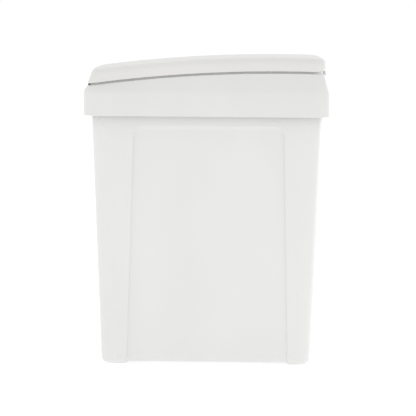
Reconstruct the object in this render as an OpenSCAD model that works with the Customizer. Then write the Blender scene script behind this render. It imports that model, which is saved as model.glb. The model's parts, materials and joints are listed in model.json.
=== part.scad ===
// Pedal trash can: tapered outer body, lift-off collar, arched lid, inner bucket,
// and a flush pedal in a toe recess that lifts the lid through a lever and a push rod.
// Millimetres. +Z is up, -X is the front, +X is the hinge side. The origin is on the floor under the middle.

/* [Collar] */
// Length of the collar, front to back
collar_l = 370; // [368:1:374]
// Width of the collar, side to side
collar_w = 260; // [258:1:264]
// Height of the collar's lower edge above the floor
collar_low_z = 367; // [364:1:370]
// Height at which the collar's upright band turns into its sloping shoulder
shoulder_z = 404; // [402:1:406]
// How far the shoulder slopes in
shoulder_in = 9.5; // [9:0.5:10]
// How much less than that it slopes in at the front
front_out = 3.5; // [3:0.5:4]

/* [Lid] */
// Height of the lid's crown above the floor when closed
total_h = 456; // [453:1:459]
// Rise of the crown above the lid's lower edge
lid_rise = 20.5; // [20:0.5:21]
// Shadow gap between the collar and the lid
lid_gap = 5; // [4.6:0.2:5.4]
// Radius of the arch that the lid and the collar's upper edge follow
seam_r = 2000; // [1900:50:2200]
// Distance of the arch's highest point behind the middle
seam_x = 110; // [100:5:120]
// How far the lid opens, in degrees
lid_open = 75; // [60:1:75]

/* [Body] */
// Half length of the body at the floor
foot_hx = 156; // [155:0.5:157]
// Half width of the body at the floor
foot_hy = 101; // [100:0.5:102]
// How far each wall leans out from the floor to the rim
lean = 18.2; // [17.8:0.2:18.6]
// Wall thickness of the body and of the collar
wall = 2.5; // [2.3:0.1:2.6]
// Depth of the panel sunk into each long side
panel_depth = 3; // [2:0.5:3]

/* [Pedal] */
// Half width of the toe recess
toe_hy = 60; // [58:1:64]
// Height of the toe recess
toe_h = 90; // [84:1:90]
// Height of the pedal's axle above the floor
axle_z = 18.5; // [18:0.5:19]
// Tilt of the pedal lever when the lid is closed, in degrees
lever_tilt = 3.5; // [3.3:0.1:3.6]

/* [Bucket] */
// Height of the bucket's rim above the floor
bucket_rim_z = 378; // [370:1:380]
// Wall thickness of the bucket
bucket_wall = 2; // [1.6:0.1:2.2]
// Reach of the bail handle from its pivots
bail_reach = 48; // [40:1:48]

/* [Hidden] */
$fn = 48;

// Colours
white = [0.93, 0.93, 0.92];
grey = [0.62, 0.63, 0.64];
dark = [0.20, 0.20, 0.21];
steel = [0.75, 0.76, 0.78];

// Outline steps: along each end, round each corner and along each side
end_steps = 6;
corner_steps = 6;
side_steps = 12;
// How far the middle of each end stands out beyond its corners
end_bow = 5;

// Collar and rim
hx = collar_l / 2;
hy = collar_w / 2;
corner_r = 26;
lid_edge_z = total_h - lid_rise;
ledge = 4;
upstand = 6;
upstand_t = 2;
// How far the upstand leans in, so that it clears the lid's front wall
upstand_lean = 1.6;
web_z = 393;
web_in = 14;
rim_z = web_z - 0.6;
rim_in = 3.5;

// Hinge of the lid
hinge_x = 169.5;
hinge_z = lid_edge_z - 2;
knuckle_r = 4.2;
pin_r = 2;
hinge_y = 70;
lid_knuckle_w = 14.8;
lug_w = 9.4;
lug_y = 13;

// Roller on the lid, which the push rod lifts
roller_arm = 16;
roller_r = 4;
roller_w = 14.4;
cheek_r = 4.6;
cheek_t = 2.5;
cheek_gap = 0.4;
roller_x = hinge_x - roller_arm * cos(lid_open / 2);
roller_z = hinge_z - roller_arm * sin(lid_open / 2);

// Push rod, parallel to the back wall
rod_lean = atan(lean / rim_z);
rod_r = 2.5;
tip_gap = 0.8;
tip_z = roller_z - roller_r - tip_gap;
tip_x = roller_x - 1.2;
tip_len = tip_z / cos(rod_lean);
socket = 6.5;
rod_x0 = tip_x - tip_z * tan(rod_lean);

// Pedal lever and what carries it
lever_hl = 146;
lever_hy = 13;
lever_hz = 4;
axle_r = 3;
bush_r = 4.5;
bush_out = 16;
bracket_y0 = 16.4;
bracket_y1 = 20.4;
flange_z = 27;
floor_z = 37;
floor_t = 2.5;
boss_x = 16;
boss_y = 29;
pad_x = 137;
pad_t = 1.5;
foot_gap = 0.6;
tread_x0 = -153;
tread_x1 = -109;
tread_hy = 55;
tread_top = lever_hz + 4;
tread_wall = 2.2;
tread_screw_x = [-138, -118];
rod_low_z = axle_z - pad_x * sin(lever_tilt) + (lever_hz + pad_t) * cos(lever_tilt) + foot_gap;

// Feet
foot_x = 131;
foot_y = 75;
foot_r = 9;
peg_r = 4;
tab_z = 2;
tab_t = 2.5;
skirt_z = 1;

// Lid: thickness, and outer outlines from the lower edge up, each with its front end, rear end,
// half width, corner radius, rise above the seam and crown
lid_t = 2.3;
lid_steps = [
    [-176, 170.5, 120.5, 17, 0, 0],
    [-174.6, 174.2, 120.5, 17.5, 4, 0],
    [-172.6, 176, 120.4, 18, 9, 0],
    [-171, 175, 119.4, 17, 13.5, 0],
    [-168.6, 171.6, 116.8, 15, 16.8, 0.4],
    [-164, 165, 111, 13, 18, 1.4],
    [-150, 150, 92, 12, 18.4, 2.1],
    [-136, 136, 60, 12, 18.4, 2.1],
    [-126, 126, 20, 10, 18.4, 2.1]
];
// Height above the lower edge over which the wall's thickness turns from sideways to downwards
lid_turn = 9;

// Bucket
bucket_low_z = floor_z + floor_t + 0.5;
bucket_xm = -11.5;
ear_y = 102.2;
ear_t = 3;
pivot_z = bucket_rim_z + 6.5;
wire_r = 1.75;
bail_y = 95;
grip_r = 6.5;
grip_hy = 42;
step_x = -99;
step_z = toe_h + 9;

// Guard over the push rod
guard_hy = 20;
guard_front = -11.5;
guard_t = 1.8;
guard_back = 11.8;
guard_screw_y = 26;
guard_screw_z = [80, 340];

// ---------- outlines and skins ----------

function arc(cx, cy, r, a0, a1) =
    [for (i = [1:corner_steps])
        let (a = a0 + (a1 - a0) * i / corner_steps)
        [cx + r * cos(a), cy + r * sin(a)]];
function run(p, q, n) = [for (i = [1:n]) p + (q - p) * i / n];

// Pulls the corners of both ends back, so that the ends bulge
function bowed(points, xm, half, w) =
    [for (p = points) [p.x - end_bow * pow(p.y / w, 2) * pow((p.x - xm) / half, 3), p.y]];

// A rectangle from xf to xr and -w to w, with round corners and bulging ends
function outline(xf, xr, w, r) = bowed(concat(
    run([xr, r - w], [xr, w - r], end_steps),
    arc(xr - r, w - r, r, 0, 90),
    run([xr - r, w], [xf + r, w], side_steps),
    arc(xf + r, w - r, r, 90, 180),
    run([xf, w - r], [xf, r - w], end_steps),
    arc(xf + r, r - w, r, 180, 270),
    run([xf + r, -w], [xr - r, -w], side_steps),
    arc(xr - r, r - w, r, 270, 360)), (xf + xr) / 2, (xr - xf) / 2, w);

function level(points, z) = [for (p = points) [p.x, p.y, z]];
function seam_z(x) = lid_edge_z - pow(x - seam_x, 2) / (2 * seam_r);
function on_seam(points, dz, crown = 0) =
    [for (p = points) [p.x, p.y, seam_z(p.x) + dz + crown * (1 - pow(p.y / hy, 2))]];

// The collar's outline, moved in by inset, with its front end moved out again
function collar_ring(inset, out = 0) =
    outline(inset - hx - out, hx - inset, hy - inset, max(corner_r - inset, 6));
function body_ring(z, inset) =
    let (g = lean * z / rim_z - inset)
    level(outline(-foot_hx - g, foot_hx + g, foot_hy + g, 22 + 4 * z / rim_z - inset), z);
function bucket_ring(z, inset) =
    let (t = (z - bucket_low_z) / (bucket_rim_z - bucket_low_z))
    level(outline(-143 - 13 * t + inset, 119 + 14 * t - inset, 90 + 14 * t - inset, 18 + 8 * t - inset), z);

// The point of an outline that mirrors point j across the middle
function across(n, j) = (n + end_steps - 2 - j) % n;

// A cap of strips from side to side, so that it can follow an arch
function cap(n) = [for (j = [end_steps / 2 - 1:end_steps / 2 + n / 2 - 2])
    let (a = across(n, j), b = across(n, j + 1))
    each concat(b == j + 1 ? [] : [[j, j + 1, b]], a == j ? [] : [[j, b, a]])];

// A solid over a list of outlines, from the lowest to the highest.
// A closed one is a ring with an open middle.
module skin(rings, closed = false) {
    n = len(rings[0]);
    m = len(rings);
    last = (m - 1) * n;
    bands = closed ? m - 1 : m - 2;
    walls = [for (i = [0:bands], j = [0:n - 1])
        let (k = (j + 1) % n, low = i * n, high = ((i + 1) % m) * n)
        each [[low + j, high + j, high + k], [low + j, high + k, low + k]]];
    caps = closed ? [] : [for (f = cap(n)) each [f, [last + f[2], last + f[1], last + f[0]]]];
    polyhedron(points = [for (r = rings) each r], faces = concat(walls, caps), convexity = 10);
}

// ---------- helpers for placing ----------

// A drawing in x and z, made solid from y0 to y1
module slab_y(y0, y1) {
    translate([0, y1, 0]) rotate([90, 0, 0]) linear_extrude(y1 - y0) children();
}

module bar_y(x, z, r, y0, y1) {
    translate([x, y1, z]) rotate([90, 0, 0]) cylinder(r = r, h = y1 - y0);
}

module both_sides() {
    children();
    mirror([0, 1, 0]) children();
}

// The push rod's own frame: z runs along the rod, x points at the back wall
module along_rod() {
    translate([rod_x0, 0, 0]) rotate([0, rod_lean, 0]) children();
}

// The pedal lever's own frame, about the axle
module along_lever() {
    translate([0, 0, axle_z]) rotate([0, lever_tilt, 0]) children();
}

// One of the four corners, from the front left
module at_corner(sx, sy) {
    translate([sx * foot_x, sy * foot_y, 0]) children();
}

// ---------- outer body ----------

// Outline of a side panel: wider at the floor, round at its upper corners, made bigger by grow
function panel_shape(grow) =
    let (low = 120 + grow, high = 109.8 + grow, top = 353 + grow, r = 14 + grow)
    concat([[-low, -20], [low, -20]], arc(high - r, top - r, r, 0, 90), arc(r - high, top - r, r, 90, 180));

// A side panel as a block on the +Y wall, from depth below the wall's outer face outwards
module panel_block(depth, grow) {
    translate([0, foot_hy, 0]) rotate([-rod_lean, 0, 0]) slab_y(-depth, 12) polygon(panel_shape(grow));
}

// The arch of the toe recess, made bigger by grow
module toe_arch(grow) {
    w = toe_hy + grow;
    r = 20 + grow;
    top = toe_h + grow;
    polygon(concat(
        [[-w, -5], [w, -5]],
        arc(w - r, top - r, r, 0, 90),
        arc(r - w, top - r, r, 90, 180)));
}

// The toe arch as a block that runs from x0 to x1
module toe_block(x0, x1, grow) {
    translate([x0, 0, 0]) rotate([90, 0, 90]) linear_extrude(x1 - x0) toe_arch(grow);
}

module guard_points() {
    for (y = [-guard_screw_y, guard_screw_y], z = guard_screw_z)
        translate([0, y, z]) rotate([0, 90, 0]) children();
}

module body_shell() {
    color(white) {
        difference() {
            union() {
                difference() {
                    skin([body_ring(skirt_z, 0), body_ring(rim_z, 0)]);
                    difference() {
                        skin([body_ring(-2, wall), body_ring(rim_z + 3, wall)]);
                        both_sides() panel_block(panel_depth + wall, wall);
                    }
                    both_sides() panel_block(panel_depth, 0);
                }
                // Rolled rim that the collar sits on
                skin([
                    level(collar_ring(rim_in), rim_z - 10), level(collar_ring(rim_in), rim_z),
                    body_ring(rim_z, wall / 2), body_ring(rim_z - wall, wall / 2),
                    level(collar_ring(rim_in + 1.8), rim_z - wall),
                    level(collar_ring(rim_in + 1.8), rim_z - 10)
                ], closed = true);
                // Corner tabs over the feet
                intersection() {
                    skin([body_ring(tab_z, wall / 2), body_ring(tab_z + tab_t, wall / 2)]);
                    for (sx = [-1, 1], sy = [-1, 1])
                        at_corner(sx, sy) translate([16 * sx - 30, 16 * sy - 30, 0]) cube([60, 60, 12]);
                }
                // Bosses for the rod guard
                along_rod() guard_points() translate([0, 0, guard_back]) cylinder(r = 4, h = 6);
            }
            toe_block(-190, -120, 0);
            along_rod() guard_points() translate([0, 0, guard_back - 1]) cylinder(r = 1.55, h = 6);
            for (sx = [-1, 1], sy = [-1, 1]) at_corner(sx, sy) cylinder(r = peg_r + 0.1, h = 12);
            // The panels end a little above the corner columns
            translate([-119, -150, -1]) cube([238, 300, skirt_z + 2.5]);
        }
    }
}

// ---------- false floor ----------

module base_chassis() {
    color(grey) difference() {
        union() {
            difference() {
                intersection() {
                    skin([body_ring(floor_z - 9, wall + 0.4), body_ring(floor_z + floor_t, wall + 0.4)]);
                    translate([-200, 4.3 - foot_hy, 0]) cube([400, 2 * foot_hy - 8.6, 100]);
                }
                intersection() {
                    skin([body_ring(floor_z - 10, wall + 2.4), body_ring(floor_z, wall + 2.4)]);
                    translate([-200, 6.3 - foot_hy, 0]) cube([400, 2 * foot_hy - 12.6, 100]);
                }
            }
            // Walls round the toe recess
            intersection() {
                skin([body_ring(floor_z, wall + 0.4), body_ring(toe_h + 5, wall + 0.4)]);
                difference() {
                    toe_block(-180, -103.5, 2.5);
                    translate([-200, -100, -10]) cube([200, 200, 10 + floor_z]);
                }
            }
            // Corner posts that take the feet
            for (sx = [-1, 1], sy = [-1, 1])
                at_corner(sx, sy) translate([0, 0, tab_z + tab_t])
                    cylinder(r = 8, h = floor_z - tab_z - tab_t);
            // Bosses for the axle brackets
            for (x = [-boss_x, boss_x], y = [-boss_y, boss_y])
                translate([x, y, flange_z + 3]) cylinder(r = 4.5, h = floor_z - flange_z - 3);
        }
        toe_block(-190, -106, 0);
        translate([rod_x0 + floor_z * tan(rod_lean), 0, floor_z - 1]) cylinder(r = 8, h = floor_t + 2);
        for (sx = [-1, 1], sy = [-1, 1]) at_corner(sx, sy) cylinder(r = peg_r + 0.1, h = 13);
        for (x = [-boss_x, boss_x], y = [-boss_y, boss_y])
            translate([x, y, flange_z + 2]) cylinder(r = 1.55, h = 7.5);
    }
}

module foot(sx, sy) {
    color(dark) at_corner(sx, sy) {
        cylinder(r = foot_r, h = tab_z);
        cylinder(r = peg_r, h = 12);
    }
}

// ---------- axle and its brackets ----------

module axle_bracket() {
    color(grey) difference() {
        union() {
            slab_y(bracket_y0, bracket_y1) union() {
                translate([0, axle_z]) circle(r = 7);
                polygon([[-7, axle_z], [7, axle_z], [14, flange_z + 3], [-14, flange_z + 3]]);
            }
            translate([-boss_x - 7, bracket_y0, flange_z])
                cube([2 * boss_x + 14, boss_y + 6 - bracket_y0, 3]);
        }
        bar_y(0, axle_z, axle_r + 0.02, 0, 40);
        for (x = [-boss_x, boss_x]) translate([x, boss_y, flange_z - 1]) cylinder(r = 1.8, h = 5);
    }
}

module pan_screw(head_r, head_h, shank_r, shank_h) {
    translate([0, 0, -head_h]) cylinder(r = head_r, h = head_h);
    cylinder(r = shank_r, h = shank_h);
}

module bracket_screws() {
    color(steel) for (x = [-boss_x, boss_x], y = [-boss_y, boss_y])
        translate([x, y, flange_z]) pan_screw(3.4, 2, 1.5, 8.5);
}

module pedal_axle() {
    color(steel) bar_y(0, axle_z, axle_r, -22.8, 22.8);
}

module axle_clip() {
    color(steel) difference() {
        bar_y(0, axle_z, 6.4, bracket_y1, bracket_y1 + 1.2);
        bar_y(0, axle_z, axle_r, 0, 40);
    }
}

// ---------- guard and guides of the push rod ----------

module rod_guard() {
    z0 = floor_z + floor_t + 1.6;
    h = 346;
    color(white) along_rod() difference() {
        translate([0, 0, z0]) linear_extrude(h) polygon([
            [guard_back, -32], [guard_back, -guard_hy + guard_t],
            [guard_front + guard_t, -guard_hy + guard_t], [guard_front + guard_t, guard_hy - guard_t],
            [guard_back, guard_hy - guard_t], [guard_back, 32],
            [guard_back - guard_t, 32], [guard_back - guard_t, guard_hy], [guard_front, guard_hy],
            [guard_front, -guard_hy], [guard_back - guard_t, -guard_hy], [guard_back - guard_t, -32]
        ]);
        guard_points() translate([0, 0, guard_back - 4]) cylinder(r = 1.8, h = 6);
    }
}

module guard_screws() {
    color(steel) along_rod() guard_points()
        translate([0, 0, guard_back - guard_t]) pan_screw(3.4, 2, 1.5, 6.4);
}

module rod_guide(z) {
    x0 = guard_front + guard_t;
    color(grey) along_rod() difference() {
        translate([x0, guard_t - guard_hy, z]) cube([6 - x0, 2 * (guard_hy - guard_t), 10]);
        translate([0, 0, z - 1]) cylinder(r = rod_r + 0.1, h = 12);
    }
}

// ---------- pedal ----------

module pedal_lever() {
    color(steel) along_lever() difference() {
        union() {
            difference() {
                translate([-lever_hl, -lever_hy, -lever_hz]) cube([2 * lever_hl, 2 * lever_hy, 2 * lever_hz]);
                translate([-lever_hl - 1, 2 - lever_hy, -lever_hz - 1])
                    cube([2 * lever_hl + 2, 2 * lever_hy - 4, 2 * lever_hz - 1]);
            }
            both_sides() bar_y(0, 0, 8, lever_hy - 2, lever_hy);
        }
        bar_y(0, 0, bush_r + 0.02, -20, 20);
        for (x = tread_screw_x) translate([x, 0, 0]) cylinder(r = 2.2, h = 10);
        translate([136, 0, 0]) cylinder(r = 3.02, h = 10);
        // Room for the bushes between the cheeks
        translate([-9, 2 - lever_hy, -12]) cube([18, 2 * lever_hy - 4, 14]);
    }
}

module lever_bush() {
    color(white) along_lever() difference() {
        union() {
            bar_y(0, 0, bush_r, lever_hy - 2, lever_hy + 0.5);
            bar_y(0, 0, 6.5, lever_hy, bush_out);
        }
        bar_y(0, 0, axle_r + 0.05, 0, 30);
    }
}

module lever_pad() {
    color(white) along_lever() {
        translate([126, -lever_hy, lever_hz]) cube([20, 2 * lever_hy, pad_t]);
        translate([136, 0, lever_hz - 2]) cylinder(r = 3, h = 3);
    }
}

module pedal_tread() {
    color(white) along_lever() difference() {
        union() {
            translate([tread_x0, -tread_hy, -lever_hz])
                cube([tread_x1 - tread_x0, 2 * tread_hy, 2 * lever_hz + 4]);
            translate([tread_x1 - 1, -lever_hy, lever_hz]) cube([26, 2 * lever_hy, 4]);
        }
        translate([tread_x0 + tread_wall, tread_wall - tread_hy, -lever_hz - 1])
            cube([tread_x1 - tread_x0, 2 * (tread_hy - tread_wall), 2 * lever_hz + 1]);
        // Seat of the rubber grip
        translate([tread_x0 + 5, 7 - tread_hy, tread_top - 1]) cube([32, 2 * tread_hy - 14, 2]);
        for (x = tread_screw_x) translate([x, 0, 0]) cylinder(r = 1.55, h = lever_hz + 2.6);
    }
}

module tread_grip() {
    w = 2 * tread_hy - 14.4;
    color(dark) along_lever() translate([tread_x0 + 5.2, -w / 2, tread_top - 1]) {
        cube([31.6, w, 1.6]);
        for (x = [2:5.5:30]) translate([x, 2, 1.6]) cube([2.2, w - 4, 0.9]);
    }
}

module tread_screws() {
    color(steel) along_lever() for (x = tread_screw_x)
        translate([x, 0, lever_hz - 2]) pan_screw(3.4, 2, 1.5, 4.4);
}

// ---------- push rod ----------

module push_rod() {
    color(steel) along_rod() translate([0, 0, rod_low_z + 7.6])
        cylinder(r = rod_r, h = tip_len - socket - rod_low_z - 7.6);
}

module rod_foot() {
    color(white) along_rod() translate([0, 0, rod_low_z]) rotate_extrude() polygon([
        [0, 0], [2, 0], [6, 3], [6, 16], [rod_r, 16], [rod_r, 7.6], [0, 7.6]
    ]);
}

module rod_tip() {
    color(white) along_rod() translate([0, 0, tip_len]) rotate_extrude() polygon([
        [0, 0], [6.4, 0], [7, -0.8], [7, -16], [rod_r, -16], [rod_r, -socket], [0, -socket]
    ]);
}

// ---------- collar ----------

module hinge_lug() {
    difference() {
        union() {
            bar_y(hinge_x, hinge_z, knuckle_r, -lug_w / 2, lug_w / 2);
            slab_y(-lug_w / 2, lug_w / 2) polygon([
                [hinge_x - knuckle_r, hinge_z], [hinge_x - knuckle_r, hinge_z - 8], [173, hinge_z - 32],
                [181.4, hinge_z - 32], [181.4, shoulder_z + 2], [hinge_x + knuckle_r, hinge_z - 5],
                [hinge_x + knuckle_r, hinge_z]
            ]);
        }
        bar_y(hinge_x, hinge_z, pin_r + 0.02, -20, 20);
    }
}

module collar() {
    color(white) {
        difference() {
            skin([
                level(collar_ring(0), collar_low_z),
                level(collar_ring(0), shoulder_z),
                on_seam(collar_ring(shoulder_in, front_out), -lid_gap),
                on_seam(collar_ring(shoulder_in + ledge, front_out), -lid_gap),
                on_seam(collar_ring(shoulder_in + ledge + upstand_lean, front_out), upstand),
                on_seam(collar_ring(shoulder_in + ledge + upstand_lean + upstand_t, front_out), upstand),
                on_seam(collar_ring(shoulder_in + ledge + upstand_t, front_out), -lid_gap - 3),
                on_seam(collar_ring(shoulder_in + wall, front_out), -lid_gap - 3),
                level(collar_ring(wall), shoulder_z - 1.5),
                level(collar_ring(wall), web_z + wall),
                level(collar_ring(web_in), web_z + wall),
                level(collar_ring(web_in), web_z),
                level(collar_ring(wall), web_z),
                level(collar_ring(wall), collar_low_z)
            ], closed = true);
            // No upstand along the hinge, and room for the lid's knuckles
            translate([156, -hy, lid_edge_z - lid_gap - 1.2]) cube([40, 2 * hy, 20]);
            both_sides() bar_y(hinge_x, hinge_z, knuckle_r + 0.5, hinge_y - 8.3, hinge_y + 8.3);
            // Room for the lugs
            for (y = [-hinge_y - lug_y, lug_y - hinge_y, hinge_y - lug_y, hinge_y + lug_y])
                bar_y(hinge_x, hinge_z, pin_r + 0.02, y - lug_w / 2, y + lug_w / 2);
        }
        for (y = [-hinge_y - lug_y, lug_y - hinge_y, hinge_y - lug_y, hinge_y + lug_y])
            translate([0, y, 0]) hinge_lug();
    }
}

module hinge_pin() {
    color(steel) bar_y(hinge_x, hinge_z, pin_r, hinge_y - 18, hinge_y + 18);
}

module lid_bumper() {
    x = shoulder_in - hx - front_out + 1.4;
    color(grey) translate([x, 56, seam_z(x) - lid_gap + 0.3]) cube([2.4, 8, lid_gap - 0.9]);
}

// ---------- lid ----------

// One outline of the lid, moved in by t and down by drop
function lid_ring(s, t = 0, drop = 0) =
    on_seam(outline(s[0] - front_out + t, s[1] - t, s[2] - t, s[3] - t), s[4] - drop, s[5]);

// The lid as a full block, or its outer face with the hollow taken out
module lid_block() {
    skin([for (s = lid_steps) lid_ring(s)]);
}

module lid_skin() {
    flat_rows = 2;
    last = len(lid_steps) - 1;
    inside = [for (i = [last:-1:0])
        lid_ring(lid_steps[i], i > last - flat_rows ? 0 : lid_t, lid_t * min(lid_steps[i][4] / lid_turn, 1))];
    skin(concat(inside, [for (s = lid_steps) lid_ring(s)]));
}

// Cheeks that carry the roller
module roller_cheek() {
    slab_y(roller_w / 2 + cheek_gap, roller_w / 2 + cheek_gap + cheek_t) union() {
        translate([roller_x, roller_z]) circle(r = cheek_r);
        polygon([
            [roller_x - cheek_r, roller_z], [roller_x - 24, total_h], [roller_x + 10, total_h],
            [roller_x + cheek_r, roller_z]
        ]);
    }
}

module lid_knuckle() {
    slab_y(hinge_y - lid_knuckle_w / 2, hinge_y + lid_knuckle_w / 2) union() {
        translate([hinge_x, hinge_z]) circle(r = knuckle_r);
        polygon([
            [hinge_x - knuckle_r, hinge_z], [hinge_x - 14, total_h], [hinge_x + 2, total_h],
            [hinge_x + knuckle_r, hinge_z]
        ]);
    }
}

module lid_shell() {
    color(white) difference() {
        union() {
            difference() {
                lid_skin();
                // Room for the collar's lugs
                for (y = [-hinge_y - lug_y, lug_y - hinge_y, hinge_y - lug_y, hinge_y + lug_y])
                    translate([158, y - lug_w / 2 - 0.5, lid_edge_z - 12]) cube([30, lug_w + 1, 17.2]);
            }
            intersection() {
                both_sides() {
                    roller_cheek();
                    lid_knuckle();
                    // Stiffening rib
                    slab_y(50, 51.8) polygon(concat(
                        [for (x = [-150:25:150]) [x, seam_z(x) + 12]], [[150, total_h], [-150, total_h]]));
                }
                union() {
                    translate([0, 0, -0.8]) lid_block();
                    translate([130, -hy, lid_edge_z - 20]) cube([44, 2 * hy, 24]);
                }
            }
        }
        both_sides() bar_y(hinge_x, hinge_z, pin_r + 0.05, hinge_y - 30, hinge_y + 30);
        bar_y(roller_x, roller_z, pin_r + 0.02, -30, 30);
    }
}

module lid_roller() {
    color(grey) difference() {
        bar_y(roller_x, roller_z, roller_r, -roller_w / 2, roller_w / 2);
        bar_y(roller_x, roller_z, pin_r + 0.05, -20, 20);
    }
}

module roller_pin() {
    color(steel) bar_y(roller_x, roller_z, pin_r, -roller_w / 2 - 3.6, roller_w / 2 + 3.6);
}

// ---------- bucket ----------

module inner_bucket() {
    color(grey) difference() {
        union() {
            difference() {
                difference() {
                    skin([bucket_ring(bucket_low_z, 0), bucket_ring(bucket_rim_z, 0)]);
                    translate([-220, -150, 0]) cube([220 + step_x, 300, step_z]);
                }
                difference() {
                    skin([
                        bucket_ring(bucket_low_z + bucket_wall, bucket_wall),
                        bucket_ring(bucket_rim_z + 2, bucket_wall)
                    ]);
                    translate([-220, -150, 0])
                        cube([220 + step_x + bucket_wall, 300, step_z + bucket_wall]);
                }
            }
            // Turned-over rim
            skin([
                bucket_ring_at(-4, bucket_rim_z - 7), bucket_ring_at(-4, bucket_rim_z),
                bucket_ring_at(bucket_wall / 2, bucket_rim_z),
                bucket_ring_at(bucket_wall / 2, bucket_rim_z - 2),
                bucket_ring_at(-2.4, bucket_rim_z - 2), bucket_ring_at(-2.4, bucket_rim_z - 7)
            ], closed = true);
            both_sides() slab_y(ear_y, ear_y + ear_t) union() {
                translate([bucket_xm, pivot_z]) circle(r = 6);
                polygon([
                    [bucket_xm - 6, pivot_z], [bucket_xm - 9, bucket_rim_z - 1.5],
                    [bucket_xm + 9, bucket_rim_z - 1.5], [bucket_xm + 6, pivot_z]
                ]);
            }
        }
        bar_y(bucket_xm, pivot_z, wire_r + 0.08, -130, 130);
    }
}

// The bucket's outline at its rim, moved in by inset and set at height z
function bucket_ring_at(inset, z) = [for (p = bucket_ring(bucket_rim_z, inset)) [p.x, p.y, z]];

// Half of the bail, on the +Y side, lying towards the front
module half_bail() {
    small = 4;
    large = 16;
    bar_y(0, 0, wire_r, bail_y + small, ear_y + ear_t + 2.6);
    bar_y(0, 0, 2.7, ear_y + ear_t + 0.4, ear_y + ear_t + 1.8);
    translate([-small, bail_y + small, 0]) rotate([0, 0, -90]) rotate_extrude(angle = 90)
        translate([small, 0]) circle(r = wire_r);
    translate([-bail_reach + large, bail_y, 0]) rotate([0, 90, 0])
        cylinder(r = wire_r, h = bail_reach - large - small);
    translate([-bail_reach + large, bail_y - large, 0]) rotate([0, 0, 90]) rotate_extrude(angle = 90)
        translate([large, 0]) circle(r = wire_r);
    bar_y(-bail_reach, 0, wire_r, 0, bail_y - large);
}

module bucket_handle() {
    color(steel) translate([bucket_xm, 0, pivot_z]) both_sides() half_bail();
}

module handle_grip() {
    color(white) translate([bucket_xm - bail_reach, 0, pivot_z]) difference() {
        bar_y(0, 0, grip_r, -grip_hy, grip_hy);
        bar_y(0, 0, wire_r + 0.08, -60, 60);
    }
}

body_shell();
base_chassis();
foot(-1, 1);  // foot_front_left
foot(-1, -1);  // foot_front_right
foot(1, 1);  // foot_rear_left
foot(1, -1);  // foot_rear_right
axle_bracket();  // axle_bracket_left
mirror([0, 1, 0]) axle_bracket();  // axle_bracket_right
bracket_screws();
pedal_axle();
axle_clip();  // axle_clip_left
mirror([0, 1, 0]) axle_clip();  // axle_clip_right
rod_guard();
guard_screws();
rod_guide(66);  // rod_guide_lower
rod_guide(370);  // rod_guide_upper
pedal_lever();
lever_bush();  // lever_bush_left
mirror([0, 1, 0]) lever_bush();  // lever_bush_right
lever_pad();
pedal_tread();
tread_grip();
tread_screws();
push_rod();
rod_foot();
rod_tip();
collar();
hinge_pin();  // hinge_pin_left
mirror([0, 1, 0]) hinge_pin();  // hinge_pin_right
lid_bumper();  // lid_bumper_left
mirror([0, 1, 0]) lid_bumper();  // lid_bumper_right
lid_shell();
lid_roller();
roller_pin();
inner_bucket();
bucket_handle();
handle_grip();
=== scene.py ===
import json
import math

import bmesh
import bpy
from mathutils import Matrix, Quaternion, Vector


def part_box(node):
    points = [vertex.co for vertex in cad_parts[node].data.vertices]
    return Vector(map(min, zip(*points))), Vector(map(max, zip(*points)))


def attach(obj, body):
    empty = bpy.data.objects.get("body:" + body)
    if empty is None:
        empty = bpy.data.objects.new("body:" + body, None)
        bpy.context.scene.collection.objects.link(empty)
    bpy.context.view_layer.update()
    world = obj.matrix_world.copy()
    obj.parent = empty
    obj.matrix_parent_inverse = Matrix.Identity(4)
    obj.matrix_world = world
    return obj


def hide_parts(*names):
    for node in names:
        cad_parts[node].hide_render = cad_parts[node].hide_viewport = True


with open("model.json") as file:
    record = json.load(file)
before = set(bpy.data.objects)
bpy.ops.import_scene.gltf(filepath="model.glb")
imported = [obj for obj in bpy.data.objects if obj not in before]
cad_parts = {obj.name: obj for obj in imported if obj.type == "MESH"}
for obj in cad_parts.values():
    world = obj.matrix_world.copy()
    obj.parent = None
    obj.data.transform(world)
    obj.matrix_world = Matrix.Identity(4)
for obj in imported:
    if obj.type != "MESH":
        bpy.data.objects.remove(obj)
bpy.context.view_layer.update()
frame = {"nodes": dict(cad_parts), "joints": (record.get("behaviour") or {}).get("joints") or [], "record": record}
nodes = frame["nodes"]
slotOf = {s["node"]: s["material_slot"] for s in frame["record"]["subparts"]}
bodyOf = {n: b for b, ns in frame["record"]["behaviour"]["bodies"].items() for n in ns}
mm = 0.001
print("frame loaded:", len(nodes), "nodes")

# Sizes shared by several pieces, in millimetres, read off the frame where a box gives them
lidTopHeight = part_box("lid_shell")[1].z / mm
lidCrown = 20.5  # the lid's middle above the seam
can = {
    "halfLength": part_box("collar")[1].x / mm,
    "halfWidth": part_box("collar")[1].y / mm,
    "footHalfLength": 157.3,
    "footHalfWidth": 101,
    "lean": 18.2,  # how far each side wall leans out up to the rim
    "endLean": 16.9,  # the same for the end walls
    "rimHeight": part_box("body_shell")[1].z / mm,
    "wall": 2.5,
    "endBow": 5,  # how far the middle of each end stands out
    "seamPeak": lidTopHeight - lidCrown,
    "seamCrest": 110,  # how far behind the middle the seam is highest
    "seamRadius": 2000,
    "hinge": (169.5, lidTopHeight - 22.5),  # x and height of the hinge's axis
}


def smoothStep(t):
    t = min(max(t, 0.0), 1.0)
    return t * t * (3 - 2 * t)


def seamDrop(x):
    return (x - can["seamCrest"]) ** 2 / (2 * can["seamRadius"])


def seamHeight(x):
    return can["seamPeak"] - seamDrop(x)


# Meshes from rings

def newMesh():
    return {"points": [], "faces": []}


def addPoints(mesh, points):
    start = len(mesh["points"])
    mesh["points"].extend(points)
    return list(range(start, start + len(points)))


def bridge(mesh, low, high):
    n = len(low)
    for j in range(n):
        k = (j + 1) % n
        mesh["faces"].append((low[j], low[k], high[k], high[j]))


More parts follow.
